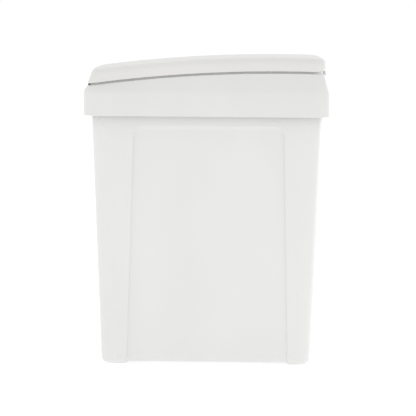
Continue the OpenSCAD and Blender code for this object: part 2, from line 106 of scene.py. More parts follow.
def arc(cx, cy, r, a0, a1, n):
    turns = [math.radians(a0 + (a1 - a0) * i / n) for i in range(1, n + 1)]
    return [(cx + r * math.cos(a), cy + r * math.sin(a)) for a in turns]


def circle(cx, cy, r, n):
    turns = [math.radians(360 * i / n) for i in range(n)]
    return [(cx + r * math.cos(a), cy + r * math.sin(a)) for a in turns]


def run(p, q, n):
    return [(p[0] + (q[0] - p[0]) * i / n, p[1] + (q[1] - p[1]) * i / n) for i in range(1, n + 1)]


ringSteps = {"ends": 24, "corners": 14, "sides": 48}


def outline(front, rear, half, radius, bows=None):
    e, c, s = ringSteps["ends"], ringSteps["corners"], ringSteps["sides"]
    r = max(radius, 0.6)
    flat = (run((rear, r - half), (rear, half - r), e)
            + arc(rear - r, half - r, r, 0, 90, c)
            + run((rear - r, half), (front + r, half), s)
            + arc(front + r, half - r, r, 90, 180, c)
            + run((front, half - r), (front, r - half), e)
            + arc(front + r, r - half, r, 180, 270, c)
            + run((front + r, -half), (rear - r, -half), s)
            + arc(rear - r, r - half, r, 270, 360, c))
    xm, hx = (front + rear) / 2, (rear - front) / 2
    bows = bows or (can["endBow"], can["endBow"])
    return [(x - bows[x > xm] * (y / half) ** 2 * ((x - xm) / hx) ** 3, y) for x, y in flat]


# Rounds the corners of a profile. A point is (values..., softness in mm), and a closed one joins its ends.
def softened(points, closed=True, steps=4):
    n = len(points)
    out = []
    for i, p in enumerate(points):
        if not closed and i in (0, n - 1):
            out.append(p[:-1])
            continue
        a, b = points[i - 1], points[(i + 1) % n]
        here = Vector(p[:-1])
        toA, toB = Vector(a[:-1]) - here, Vector(b[:-1]) - here
        reach = min(p[-1], toA.length * 0.45, toB.length * 0.45)
        if reach < 0.02:
            out.append(p[:-1])
            continue
        start, end = here + toA.normalized() * reach, here + toB.normalized() * reach
        for k in range(steps + 1):
            t = k / steps
            out.append(tuple(start * (1 - t) ** 2 + here * 2 * t * (1 - t) + end * t * t))
    return out


# A Catmull-Rom value between b and c, whose neighbours are a and d
def splineValue(a, b, c, d, t):
    bend = 2 * a - 5 * b + 4 * c - d
    twist = 3 * b - a - 3 * c + d
    return 0.5 * (2 * b + (c - a) * t + bend * t * t + twist * t ** 3)


# Rows between control rows, so that a few rows give a smooth wall
def splineRows(rows, per):
    out = []
    for i in range(len(rows) - 1):
        p0, p1, p2 = rows[max(i - 1, 0)], rows[i], rows[i + 1]
        p3 = rows[min(i + 2, len(rows) - 1)]
        for k in range(per):
            t = k / per
            out.append(tuple(splineValue(a, b, c, d, t) for a, b, c, d in zip(p0, p1, p2, p3)))
    out.append(tuple(rows[-1]))
    return out


# Fills a ring with a grid of quads whose height follows a rule
def fillRing(mesh, ring, height, flip=False):
    e, c, s = ringSteps["ends"], ringSteps["corners"], ringSteps["sides"]
    m, n, total = s + c, e + c, len(ring)
    first = e + c // 2 - 1
    at = [ring[(first + i) % total] for i in range(total)]
    points = mesh["points"]
    grid = {}
    for u in range(m + 1):
        grid[u, 0], grid[u, n] = at[u], at[m + n + m - u]
    for v in range(n + 1):
        grid[m, v], grid[0, v] = at[m + v], at[(2 * m + n + n - v) % total]
    corner = {(i, j): points[grid[i * m, j * n]] for i in (0, 1) for j in (0, 1)}
    for u in range(1, m):
        for v in range(1, n):
            s1, t1 = u / m, v / n
            side = [points[grid[u, 0]], points[grid[u, n]], points[grid[0, v]], points[grid[m, v]]]
            xy = []
            for k in (0, 1):
                flat = sum(corner[i, j][k] * (s1 if i else 1 - s1) * (t1 if j else 1 - t1) for i, j in corner)
                xy.append((1 - t1) * side[0][k] + t1 * side[1][k]
                          + (1 - s1) * side[2][k] + s1 * side[3][k] - flat)
            grid[u, v] = len(points)
            points.append((xy[0], xy[1], height(xy[0], xy[1])))
    for u in range(m):
        for v in range(n):
            face = (grid[u, v], grid[u + 1, v], grid[u + 1, v + 1], grid[u, v + 1])
            mesh["faces"].append(tuple(reversed(face)) if flip else face)


# Objects

def camelName(name):
    first, *rest = name.split("_")
    return first + "".join(word.capitalize() for word in rest)


def finishObject(obj, name, body, slot, stands=(), sharp=38):
    obj.name = name
    obj.data.name = name
    obj.data.materials.clear()
    obj.data.materials.append(materials[slot])
    obj.data.shade_smooth()
    obj.data.set_sharp_from_angle(angle=math.radians(sharp))
    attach(obj, body)
    if stands:
        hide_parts(*stands)


# Finishes a piece that stands for CAD nodes, with the first one's body and slot
def finishNode(obj, *stands, name=None, sharp=38):
    node = stands[0]
    finishObject(obj, name or camelName(node), bodyOf[node], slotOf[node], stands, sharp)


def cleanMesh(data, merge=0.02 * mm):
    bm = bmesh.new()
    bm.from_mesh(data)
    bmesh.ops.remove_doubles(bm, verts=bm.verts, dist=merge)
    bmesh.ops.delete(bm, geom=[v for v in bm.verts if not v.link_faces], context="VERTS")
    bmesh.ops.recalc_face_normals(bm, faces=bm.faces)
    bm.to_mesh(data)
    bm.free()


def linkMesh(name, mesh):
    data = bpy.data.meshes.new(name)
    data.from_pydata([(x * mm, y * mm, z * mm) for x, y, z in mesh["points"]], [], mesh["faces"])
    data.update()
    cleanMesh(data)
    obj = bpy.data.objects.new(name, data)
    bpy.context.scene.collection.objects.link(obj)
    return obj


# Applies an object's modifiers and leaves it a plain mesh
def bakeModifiers(obj):
    bpy.context.view_layer.update()
    depsgraph = bpy.context.evaluated_depsgraph_get()
    old = obj.data
    obj.data = bpy.data.meshes.new_from_object(obj.evaluated_get(depsgraph))
    obj.modifiers.clear()
    bpy.data.meshes.remove(old)


def addBevel(obj, width, segments=2, angle=30):
    bevel = obj.modifiers.new("edges", "BEVEL")
    bevel.width = width * mm
    bevel.segments = segments
    bevel.limit_method = "ANGLE"
    bevel.angle_limit = math.radians(angle)
    bevel.harden_normals = False
    bevel.use_clamp_overlap = True


# Materials

def makeMaterial(name):
    material = bpy.data.materials.new(name)
    material.use_nodes = True
    tree = material.node_tree
    tree.nodes.clear()
    out = tree.nodes.new("ShaderNodeOutputMaterial")
    shader = tree.nodes.new("ShaderNodeBsdfPrincipled")
    tree.links.new(shader.outputs["BSDF"], out.inputs["Surface"])
    place = tree.nodes.new("ShaderNodeTexCoord")
    return material, tree, shader, place.outputs["Object"]


def addNode(tree, kind, links=(), **values):
    node = tree.nodes.new(kind)
    for key, value in values.items():
        if hasattr(node, key) and key not in node.inputs:
            setattr(node, key, value)
        else:
            node.inputs[key].default_value = value
    for target, source in links:
        tree.links.new(source, node.inputs[target])
    return node


def noiseAt(tree, place, scale, detail=3.0, roughness=0.5, stretch=None):
    if stretch:
        place = addNode(tree, "ShaderNodeMapping", [("Vector", place)], Scale=stretch).outputs[0]
    return addNode(tree, "ShaderNodeTexNoise", [("Vector", place)],
                   Scale=scale, Detail=detail, Roughness=roughness).outputs["Fac"]


def remapped(tree, value, low, high, toLow, toHigh):
    node = addNode(tree, "ShaderNodeMapRange", [("Value", value)])
    node.inputs["From Min"].default_value, node.inputs["From Max"].default_value = low, high
    node.inputs["To Min"].default_value, node.inputs["To Max"].default_value = toLow, toHigh
    return node.outputs["Result"]


def mixedColour(tree, factor, a, b):
    node = tree.nodes.new("ShaderNodeMix")
    node.data_type = "RGBA"
    tree.links.new(factor, node.inputs["Factor"])
    for key, colour in (("A", a), ("B", b)):
        socket = [s for s in node.inputs if s.name == key and s.type == "RGBA"][0]
        if isinstance(colour, tuple):
            socket.default_value = (*colour, 1)
        else:
            tree.links.new(colour, socket)
    return [s for s in node.outputs if s.type == "RGBA"][0]


def bumped(tree, shader, layers):
    last = None
    for height, strength, distance in layers:
        node = addNode(tree, "ShaderNodeBump", [("Height", height)],
                       Strength=strength, Distance=distance * mm)
        if last:
            tree.links.new(last, node.inputs["Normal"])
        last = node.outputs["Normal"]
    tree.links.new(last, shader.inputs["Normal"])


# Moulded plastic: a very fine grain, slow flow marks and a few rubbed spots
def plasticMaterial(name, look):
    material, tree, shader, place = makeMaterial(name)
    flow = noiseAt(tree, place, look["flowScale"], 3, 0.55, (1, 1, 0.45))
    grain = noiseAt(tree, place, look["grainScale"], 2, 0.6)
    rub = noiseAt(tree, place, look["rubScale"], 6, 0.7)
    base = look["colour"]
    cool = tuple(c * look["tintLow"] for c in base)
    warm = tuple(min(c * t, 1) for c, t in zip(base, look["tintHigh"]))
    colour = mixedColour(tree, remapped(tree, flow, 0.35, 0.65, 0, 1), cool, warm)
    rubbed = remapped(tree, rub, 0.62, 0.78, 0, look["rubAmount"])
    colour = mixedColour(tree, rubbed, colour, look["rubColour"])
    tree.links.new(colour, shader.inputs["Base Color"])
    spread = look["roughness"]
    rough = remapped(tree, rub, 0.3, 0.7, spread[0], spread[1])
    tree.links.new(rough, shader.inputs["Roughness"])
    shader.inputs["IOR"].default_value = 1.49
    shader.inputs["Specular IOR Level"].default_value = look["specular"]
    shader.inputs["Subsurface Weight"].default_value = look["subsurface"]
    shader.inputs["Subsurface Scale"].default_value = 2 * mm
    bumped(tree, shader, [(flow, 0.25, look["flowDepth"]), (grain, 0.35, look["grainDepth"])])
    return material


# Drawn or rolled steel: fine lines along one way, a cloudy tone and a few stains
def metalMaterial(name, look):
    material, tree, shader, place = makeMaterial(name)
    lines = noiseAt(tree, place, look["lineScale"], 4, 0.6, look["along"])
    cloud = noiseAt(tree, place, 60, 4, 0.6)
    colour = mixedColour(tree, remapped(tree, cloud, 0.3, 0.7, 0, 1), look["dull"], look["bright"])
    stain = remapped(tree, noiseAt(tree, place, 25, 6, 0.7), 0.62, 0.8, 0, look["stain"])
    colour = mixedColour(tree, stain, colour, look["stainColour"])
    tree.links.new(colour, shader.inputs["Base Color"])
    shader.inputs["Metallic"].default_value = 1
    spread = look["roughness"]
    tree.links.new(remapped(tree, lines, 0.3, 0.7, spread[0], spread[1]), shader.inputs["Roughness"])
    bumped(tree, shader, [(lines, 0.3, look["lineDepth"])])
    return material


# Dull rubber with patches of dust
def rubberMaterial(name, look):
    material, tree, shader, place = makeMaterial(name)
    grain = noiseAt(tree, place, look["grainScale"], 4, 0.7)
    dust = noiseAt(tree, place, 40, 5, 0.65)
    dusty = remapped(tree, dust, 0.5, 0.75, 0, look["dust"])
    colour = mixedColour(tree, dusty, look["colour"], look["dustColour"])
    tree.links.new(colour, shader.inputs["Base Color"])
    tree.links.new(remapped(tree, dust, 0.3, 0.7, 0.62, 0.86), shader.inputs["Roughness"])
    bumped(tree, shader, [(grain, 0.4, 0.05)])
    return material


whitePlastic = {
    "colour": (0.725, 0.725, 0.72), "tintLow": 0.985, "tintHigh": (1.012, 1.01, 1.004),
    "flowScale": 9, "flowDepth": 0.12, "grainScale": 2600, "grainDepth": 0.012,
    "rubScale": 22, "rubAmount": 0.10, "rubColour": (0.70, 0.695, 0.68),
    "roughness": (0.36, 0.46), "specular": 0.5, "subsurface": 0.0,
}
materials = {
    "body_plastic": plasticMaterial("bodyPlastic", whitePlastic),
    # the collar is the body's white plastic painted a shade darker: painted shade for the collar being less lit
    # than the body
    "collar_plastic": plasticMaterial("collarPlastic", {**whitePlastic, "colour": (0.70, 0.70, 0.695)}),
    "lid_plastic": plasticMaterial("lidPlastic", {**whitePlastic, "colour": (0.70, 0.695, 0.68)}),
    "pedal_plastic": plasticMaterial("pedalPlastic", {
        **whitePlastic, "colour": (0.76, 0.76, 0.75), "rubAmount": 0.35, "rubScale": 35}),
    "inner_plastic": plasticMaterial("innerPlastic", {**whitePlastic, "colour": (0.72, 0.72, 0.71)}),
    "bucket_plastic": plasticMaterial("bucketPlastic", {
        **whitePlastic, "colour": (0.22, 0.225, 0.235), "rubColour": (0.30, 0.30, 0.30), "rubAmount": 0.4}),
    "grip_plastic": plasticMaterial("gripPlastic", {**whitePlastic, "colour": (0.74, 0.74, 0.73)}),
    "nylon": plasticMaterial("nylon", {
        **whitePlastic, "colour": (0.62, 0.60, 0.54), "subsurface": 0.15, "grainScale": 1500}),
    "rubber": rubberMaterial("rubber", {
        "colour": (0.028, 0.028, 0.030), "dust": 0.5, "dustColour": (0.12, 0.115, 0.105), "grainScale": 900}),
    "lever_steel": metalMaterial("leverSteel", {
        "lineScale": 300, "along": (0.08, 1, 1), "lineDepth": 0.02, "dull": (0.46, 0.47, 0.49),
        "bright": (0.62, 0.63, 0.64), "stain": 0.35, "stainColour": (0.35, 0.33, 0.30),
        "roughness": (0.28, 0.46)}),
    "rod_steel": metalMaterial("rodSteel", {
        "lineScale": 500, "along": (1, 1, 0.06), "lineDepth": 0.015, "dull": (0.52, 0.53, 0.54),
        "bright": (0.66, 0.67, 0.68), "stain": 0.2, "stainColour": (0.38, 0.36, 0.33),
        "roughness": (0.20, 0.34)}),
    "screw_steel": metalMaterial("screwSteel", {
        "lineScale": 700, "along": (1, 1, 1), "lineDepth": 0.015, "dull": (0.50, 0.50, 0.48),
        "bright": (0.66, 0.66, 0.62), "stain": 0.3, "stainColour": (0.42, 0.38, 0.28),
        "roughness": (0.25, 0.42)}),
    "bail_wire": metalMaterial("bailWire", {
        "lineScale": 500, "along": (1, 0.08, 1), "lineDepth": 0.012, "dull": (0.58, 0.59, 0.60),
        "bright": (0.74, 0.75, 0.76), "stain": 0.15, "stainColour": (0.45, 0.44, 0.42),
        "roughness": (0.15, 0.28)}),
}
print("materials:", len(materials))

# Outer body

body = {
    "corner": 22, "cornerGrow": 4,  # corner radius at the foot, and how much larger it is at the rim
    "panelFoot": 120, "panelHead": 109.8,  # the panel's reach ahead of the middle, at the floor and its top
    "panelBehind": 4.4, "panelTop": 353,  # how much further it reaches behind, and its height
    "panelRound": 14, "panelDepth": 3, "fillet": 1.6,
    "columnFoot": 1.0,  # lower edge of the corner columns
    "panelLift": 2.5, "liftTop": 10, "liftSpan": 9,  # how much higher the panel ends, and where that fades
    "toeHalf": 60, "toeHeight": 90, "toeRound": 20, "lip": 1.6,
    "patchHalf": 74, "patchTop": 104,  # the part of the front that is rebuilt round the toe arch
    "rimInset": 3.5, "rimDrop": 10, "rimWall": 1.8, "wallInset": 11.6,  # insets from the collar's outside
    "tuck": 2.4, "tuckHeight": 6,  # the lower edge is rounded in
}


# How far the panel reaches from the middle, ahead (side -1) or behind (side 1)
def panelReach(z, side):
    t = z / body["panelTop"]
    return body["panelFoot"] + (body["panelHead"] - body["panelFoot"]) * t + body["panelBehind"] * (side > 0)


# Distance inside the panel's edge, negative outside
def panelInside(x, z):
    side = panelReach(z, math.copysign(1, x)) - abs(x)
    up = body["panelTop"] - z
    r = body["panelRound"]
    if side < r and up < r:
        return r - math.hypot(r - side, r - up)
    return min(side, up)


def panelSink(x, z):
    f = body["fillet"]
    return smoothStep((panelInside(x, z) + f * 0.3) / (2 * f))


def bodySize(z, inset):
    tuck = body["tuck"] * max(1 - (z - body["columnFoot"]) / body["tuckHeight"], 0) ** 2
    t = z / can["rimHeight"]
    hx = can["footHalfLength"] + can["endLean"] * t - inset - tuck
    hy = can["footHalfWidth"] + can["lean"] * t - inset - tuck
    return hx, hy, body["corner"] + body["cornerGrow"] * t - inset


# Heights of the wall's rings, close together at the foot, the toe arch's top and the panel's top
bodyRows = ([1.0, 1.5, 2.2, 3.2, 4.8, 7.0]
            + [12 + 8 * i for i in range(7)]
            + [64 + 3 * i for i in range(15)]
            + [114 + 12 * i for i in range(19)]
            + [336 + 1.0 * i for i in range(21)]
            + [360, 368, 376, 384, 389.9])
bodySteps = {"rear": 24, "corner": 12, "front": 60}


# One ring of the body wall: x, y and height for each point, with the same count at every height.
# Along the sides the points lie close together at the panel's edges.
def bodyRing(z, inset):
    hx, hy, r = bodySize(z, inset)
    halves = []
    for p in (panelReach(z, 1), panelReach(z, -1)):
        near = [p + 4 - 0.5 * i for i in range(1, 16)] + [p - 4 - 1.2 * i for i in range(11)]
        halves.append([hx - r + (p + 4 - hx + r) * i / 4 for i in range(1, 5)] + near)
    behind, ahead = halves
    span = behind[-1] + ahead[-1]
    middle = [behind[-1] - span * i / 16 for i in range(1, 16)]
    sideX = behind + middle + [-x for x in reversed(ahead)] + [r - hx]
    n = bodySteps["corner"]
    flat = (run((hx, r - hy), (hx, hy - r), bodySteps["rear"])
            + arc(hx - r, hy - r, r, 0, 90, n)
            + [(x, hy) for x in sideX]
            + arc(r - hx, hy - r, r, 90, 180, n)
            + run((-hx, hy - r), (-hx, r - hy), bodySteps["front"])
            + arc(r - hx, r - hy, r, 180, 270, n)
            + [(x, -hy) for x in reversed(sideX[:-1])] + [(hx - r, -hy)]
            + arc(hx - r, r - hy, r, 270, 360, n))
    out = []
    for x, y in flat:
        deep = body["panelDepth"] * panelSink(x, z) if abs(abs(y) - hy) < 0.01 else 0
        fade = smoothStep((body["liftTop"] - z) / body["liftSpan"])
        rise = body["panelLift"] * panelSink(x, z) * fade if deep else 0
        xb = x - can["endBow"] * (y / hy) ** 2 * (x / hx) ** 3
        out.append((xb, y - math.copysign(deep, y), z + rise))
    return out


def frontX(y, z, inset):
    hx, hy, _ = bodySize(z, inset)
    return -hx + can["endBow"] * (y / hy) ** 2


# A point on the toe arch, which runs from its foot at +y up, over and down to the one at -y
def archPoint(stretch, t, grow=0.0):
    w, top, r = body["toeHalf"] + grow, body["toeHeight"] + grow, body["toeRound"] + grow
    quarter = r * math.pi / 4
    low = body["columnFoot"]
    if stretch == "up":
        d = t * (top - r - low + quarter)
        if d <= top - r - low:
            return w, low + d
        a = (d - (top - r - low)) / r
        return w - r + r * math.cos(a), top - r + r * math.sin(a)
    if stretch == "down":
        y, z = archPoint("up", 1 - t, grow)
        return -y, z
    d = t * (2 * (w - r) + 2 * quarter)
    if d < quarter:
        a = math.pi / 4 + d / r
        return w - r + r * math.cos(a), top - r + r * math.sin(a)
    d -= quarter
    if d < 2 * (w - r):
        return w - r - d, top
    a = math.pi / 2 + (d - 2 * (w - r)) / r
    return r - w + r * math.cos(a), top - r + r * math.sin(a)


def makeBody():
    rows = [bodyRing(z, 0) for z in bodyRows]
    count = len(rows[0])
    rear, corner, front = bodySteps["rear"], bodySteps["corner"], bodySteps["front"]
    sideCount = (count - rear - 4 * corner - front) // 2
    start = rear + corner + sideCount + corner - 1  # the last arc point before the front
    columns = [j for j in range(start, start + front + 1) if abs(rows[0][j][1]) < body["patchHalf"]]
    topRow = next(i for i, z in enumerate(bodyRows) if z > body["patchTop"])
    left, right = columns[0], columns[-1]
    # outer edge of the patch round the toe arch, from +y over the top to -y
    edge = ([(i, left) for i in range(topRow + 1)] + [(topRow, j) for j in columns[1:-1]]
            + [(i, right) for i in range(topRow, -1, -1)])
    nUp, nOver = topRow, len(columns) - 1
    arch = ([("up", i / nUp) for i in range(nUp + 1)] + [("over", i / nOver) for i in range(1, nOver)]
            + [("down", i / nUp) for i in range(nUp + 1)])
    ratios = [0, 0.02, 0.045, 0.08, 0.13, 0.22, 0.38, 0.58, 0.8]

    def skin(inset):
        points = [bodyRing(z, inset) for z in bodyRows]
        flat = [p for row in points for p in row]
        for (i, j), (stretch, t) in zip(edge, arch):
            y1, z1 = archPoint(stretch, t)
            y2, z2 = points[i][j][1], points[i][j][2]
            for ratio in ratios:
                y, z = y1 + (y2 - y1) * ratio, z1 + (z2 - z1) * ratio
                away = math.hypot(y - y1, z - z1)
                lip = body["lip"]
                turn = lip - math.sqrt(max(lip * lip - max(lip - away, 0) ** 2, 0)) if inset == 0 else 0
                flat.append((frontX(y, z, inset) + turn, y, z))
        return flat

    inside = {(i, j) for i in range(topRow) for j in columns[:-1]}
    faces = []
    for i in range(len(bodyRows) - 1):
        for j in range(count):
            if (i, j) in inside:
                continue
            k = (j + 1) % count
            faces.append((i * count + j, i * count + k, (i + 1) * count + k, (i + 1) * count + j))
    base = len(bodyRows) * count
    step = len(ratios)

    def patchPoint(e, r):
        return edge[e][0] * count + edge[e][1] if r == step else base + e * step + r

    for e in range(len(edge) - 1):
        for r in range(step):
            square = ((e, r), (e + 1, r), (e + 1, r + 1), (e, r + 1))
            faces.append(tuple(patchPoint(*at) for at in square))
    outer, inner = skin(0), skin(can["wall"])
    mesh = newMesh()
    addPoints(mesh, outer)
    shift = len(outer)
    addPoints(mesh, inner)
    used = {}
    for f in faces:
        mesh["faces"].append(f)
        mesh["faces"].append(tuple(shift + v for v in reversed(f)))
        for a, b in zip(f, f[1:] + f[:1]):
            used[frozenset((a, b))] = used.get(frozenset((a, b)), 0) + 1
    top = (len(bodyRows) - 1) * count
    for pair, times in used.items():
        a, b = tuple(pair)
        if times == 1 and not (a >= top and b >= top and a < base and b < base):
            mesh["faces"].append((a, b, shift + b, shift + a))
    # flange and turned-down rim over the top
    z, rim, wallInset = can["rimHeight"], body["rimInset"], body["wallInset"]
    under, fold = z - can["wall"], z - body["rimDrop"]
    sections = softened([
        (wallInset, under, 0.4), (rim + body["rimWall"], under, 0.8), (rim + body["rimWall"], fold, 0.5),
        (rim, fold, 0.5), (rim, z, 1.2), (wallInset, z, 0.3)], closed=False, steps=3)
    wallTop = [(x, y) for x, y, _ in bodyRing(bodyRows[-1], 0)]
    rings = []
    for inset, height in sections:
        reachX = (can["halfLength"] - inset) / (can["halfLength"] - wallInset)
        reachY = (can["halfWidth"] - inset) / (can["halfWidth"] - wallInset)
        rings.append(addPoints(mesh, [(x * reachX, y * reachY, height) for x, y in wallTop]))
    ring = [top + j for j in range(count)]
    for nxt in rings:
        bridge(mesh, ring, nxt)
        ring = nxt
    bridge(mesh, ring, [shift + top + j for j in range(count)])
    finishNode(linkMesh("bodyShell", mesh), "body_shell")


makeBody()
print("outer body made")

# From the lid's lower edge up: front end, rear end, half width, corner radius, rise above the seam
lidRows = [
    (-179.5, 170.5, 120.5, 17.0, 0.0), (-178.8, 172.8, 120.6, 17.2, 1.8),
    (-178.1, 174.6, 120.6, 17.5, 4.0), (-177.1, 175.7, 120.6, 18.0, 6.6),
    (-176.1, 176.1, 120.5, 18.0, 9.0), (-175.2, 175.9, 120.1, 18.0, 11.4),
    (-174.5, 175.2, 119.3, 17.5, 13.5), (-173.7, 174.0, 117.8, 16.5, 15.4),
    (-172.6, 172.2, 115.6, 15.0, 17.2), (-170.5, 169.4, 112.2, 14.0, 18.7),
    (-166.4, 165.0, 107.4, 13.0, 19.5), (-159.5, 158.4, 101.0, 13.0, 19.8),
]
lid = {
    "wall": 2.3, "rows": 3, "bows": (4.2, 2.2),  # how far the front and rear corners fall back
    "crown": lidCrown, "crownLength": 157, "crownWidth": 100,  # it falls to the edge at these half sizes
    "turnFrom": 9, "turnSpan": 8, "thinning": 0.55,  # where the wall's thickness turns from sideways to down
    "hingeY": 70, "knuckleWidth": 14.8, "knuckleRadius": 4.2, "knuckleWeb": ((-13, 17.5), (1, 17)),
    "slotSlack": 0.5, "slotFront": 158,
    "slotRear": 19, "slotLow": 10, "slotHigh": 7.2,  # measured from the hinge
    "cheekIn": 7.6, "cheekWidth": 2.5, "cheekRadius": 4.6, "rollerRadius": 4,
    "cheekAhead": 24, "cheekBehind": 8, "cheekMiddle": 9, "cheekTrim": 0.6,
    "ribPlace": 50, "ribWidth": 1.8, "ribLow": 12,
}

# Collar

collar = {
    "low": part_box("collar")[0].z / mm + 1.4,  # the lower edge is a little above the CAD's
    "shoulder": 404, "slopeIn": 9.5, "frontOut": 3.5, "rearOut": 1.4, "corner": 26, "leastCorner": 6,
    "ledge": 4, "ledgeWall": 3, "gap": 5, "webHeight": 393, "webIn": 14,
    "upstand": 6, "upstandWall": 2, "upstandLean": 1.6,
    "upstandEnds": 156, "sideUpstandEnds": 172,  # how far back it runs, the second along the sides
    "edgeRise": 1.9, "riseFades": 8,  # the upper edge stands higher than the seam's line
    "riseEnds": 174, "cornerRiseEnds": 186, "sideFrom": 98,  # the second at the sides and corners
    "hingeDrop": 1.2,  # how far under the ledge the upstand's points go along the hinge
    "lugPlaces": (57, 83), "lugWidth": 9.4, "lugFront": 173, "lugRear": 181.4, "lugDeep": 32,
    "knuckleRoom": 0.5, "knuckleSideRoom": 0.9,
}


# A flat outline in x and z, pushed out along y between two places, as a mesh
def addSlab(mesh, shape, y0, y1):
    n = len(shape)
    low = addPoints(mesh, [(x, y0, z) for x, z in shape])
    high = addPoints(mesh, [(x, y1, z) for x, z in shape])
    bridge(mesh, low, high)
    mesh["faces"].append(tuple(reversed(low)))
    mesh["faces"].append(tuple(high))


# A knuckle: half round, with a web that runs down (side 1) or up (side -1) to the wall it grows from
def knuckleShape(place, radius, web, side):
    x, z = place
    turns = [math.radians(side * 180 * i / 16) for i in range(17)]
    return [(x + radius * math.cos(a), z + radius * math.sin(a)) for a in turns] + web


def booleaned(obj, tool, operation):
    cut = obj.modifiers.new("cut", "BOOLEAN")
    cut.operation = operation
    cut.solver = "EXACT"
    cut.object = tool
    bakeModifiers(obj)
    data = tool.data
    bpy.data.objects.remove(tool)
    bpy.data.meshes.remove(data)


def makeCollar():
    peak, w = can["seamPeak"], can["wall"]
    a, g, up = collar["slopeIn"], collar["gap"], collar["upstand"]
    web, out, rear = collar["webHeight"], collar["frontOut"], collar["rearOut"]
    lip, lean, thick = a + collar["ledge"], collar["upstandLean"], collar["upstandWall"]
    under = peak - g - collar["ledgeWall"]
    # inset, height, how far it follows the seam, softness
    profile = softened([
        (0, collar["low"], 0, 0.9), (0, collar["shoulder"], 0, 5), (a, peak - g, 1, 1.4),
        (lip, peak - g, 1, 0.6), (lip + lean, peak + up, 1, 0.7),
        (lip + lean + thick, peak + up, 1, 0.7), (lip + thick, under, 1, 0.6),
        (a + w, under, 1, 0.8), (w, collar["shoulder"] - 1.5, 0, 3), (w, web + w, 0, 0.8),
        (collar["webIn"], web + w, 0, 0.8), (collar["webIn"], web, 0, 0.8), (w, web, 0, 0.6),
        (w, collar["low"], 0, 0.8)], steps=5)
    mesh = newMesh()
    rings = []
    for inset, height, follow in profile:
        flat = outline(inset - can["halfLength"] - out * follow, can["halfLength"] - inset + rear * follow,
                       can["halfWidth"] - inset, max(collar["corner"] - inset, collar["leastCorner"]))
        ring = []
        for x, y in flat:
            atSide = abs(y) > collar["sideFrom"]
            riseEnds = collar["cornerRiseEnds"] if atSide else collar["riseEnds"]
            upstandEnds = collar["sideUpstandEnds"] if atSide else collar["upstandEnds"]
            z = height - seamDrop(x) * follow
            if follow > 0.5 and height < peak:
                z += collar["edgeRise"] * smoothStep((riseEnds - x) / collar["riseFades"])
            if follow > 0.5 and x > upstandEnds:
                z = min(z, peak - g - collar["hingeDrop"])
            ring.append((x, y, z))
        rings.append(addPoints(mesh, ring))
    for low, high in zip(rings, rings[1:] + rings[:1]):
        bridge(mesh, low, high)
    obj = linkMesh("collarShell", mesh)
    cutKnuckleRoom(obj)
    addLugs(obj)
    finishNode(obj, "collar", name="collarShell")


# Rooms for the lid's knuckles between the lugs
def cutKnuckleRoom(obj):
    room = newMesh()
    reach = lid["knuckleWidth"] / 2 + collar["knuckleSideRoom"]
    hollow = circle(*can["hinge"], lid["knuckleRadius"] + collar["knuckleRoom"], 40)
    for y in (-lid["hingeY"], lid["hingeY"]):
        addSlab(room, hollow, y - reach, y + reach)
    booleaned(obj, linkMesh("knuckleRoom", room), "DIFFERENCE")


# Lugs that hold the hinge pins, each on a web that grows out of the rear wall
def addLugs(obj):
    hingeX, hingeZ = can["hinge"]
    r, half = lid["knuckleRadius"], collar["lugWidth"] / 2
    front, rear, foot = collar["lugFront"], collar["lugRear"], hingeZ - collar["lugDeep"]
    web = [(hingeX - r, hingeZ - 8), (front, foot), (rear, foot), (rear, collar["shoulder"] + 2),
           (hingeX + r, hingeZ - 5)]
    lugs = newMesh()
    for y in collar["lugPlaces"]:
        for side in (-y, y):
            addSlab(lugs, knuckleShape((hingeX, hingeZ), r, web, 1), side - half, side + half)
    tool = linkMesh("lugs", lugs)
    addBevel(tool, 0.5, 2, 40)
    bakeModifiers(tool)
    booleaned(obj, tool, "UNION")


makeCollar()
print("collar made")

# Lid

# Height of the lid's top on and inside its last row
def lidTop(x, y):
    fx = min(abs(x) / lid["crownLength"], 1)
    fy = min(abs(y) / lid["crownWidth"], 1)
    edge = lidRows[-1][4]
    return seamHeight(x) + edge + (lid["crown"] - edge) * (1 - fy ** 2) * (1 - fx ** 4)


def makeLid():
    mesh = newMesh()
    rows = splineRows(lidRows, lid["rows"])
    t = lid["wall"]

    def ringOf(row, inset, drop):
        flat = outline(row[0] + inset, row[1] - inset, row[2] - inset, max(row[3] - inset, 2), lid["bows"])
        return [(x, y, seamHeight(x) + row[4] - drop) for x, y in flat]

    outer = [addPoints(mesh, ringOf(r, 0, 0)) for r in rows]
    inner = []
    for r in rows:
        share = smoothStep((r[4] - lid["turnFrom"]) / lid["turnSpan"])
        inner.append(addPoints(mesh, ringOf(r, t * (1 - lid["thinning"] * share), t * share)))
    for a, b in zip(outer, outer[1:]):
        bridge(mesh, a, b)
    for a, b in zip(inner, inner[1:]):
        bridge(mesh, b, a)
    bridge(mesh, inner[0], outer[0])
    fillRing(mesh, outer[-1], lambda x, y: lidTop(x, y))
    fillRing(mesh, inner[-1], lambda x, y: lidTop(x, y) - t, flip=True)
    obj = linkMesh("lidShell", mesh)
    hingeX, hingeZ = can["hinge"]
    room = newMesh()
    front, rear = lid["slotFront"], hingeX + lid["slotRear"]
    low, high = hingeZ - lid["slotLow"], hingeZ + lid["slotHigh"]
    slot = [(front, low), (rear, low), (rear, high), (front, high)]
    half = collar["lugWidth"] / 2 + lid["slotSlack"]
    for y in collar["lugPlaces"]:
        for side in (-y, y):
            addSlab(room, slot, side - half, side + half)
    booleaned(obj, linkMesh("lugRoom", room), "DIFFERENCE")
    addLidBrackets(obj)
    finishNode(obj, "lid_shell")


# Height just under the lid's top skin, where brackets and ribs end inside the wall
def underSkin(x, y):
    return lidTop(x, y) - lid["wall"] / 2


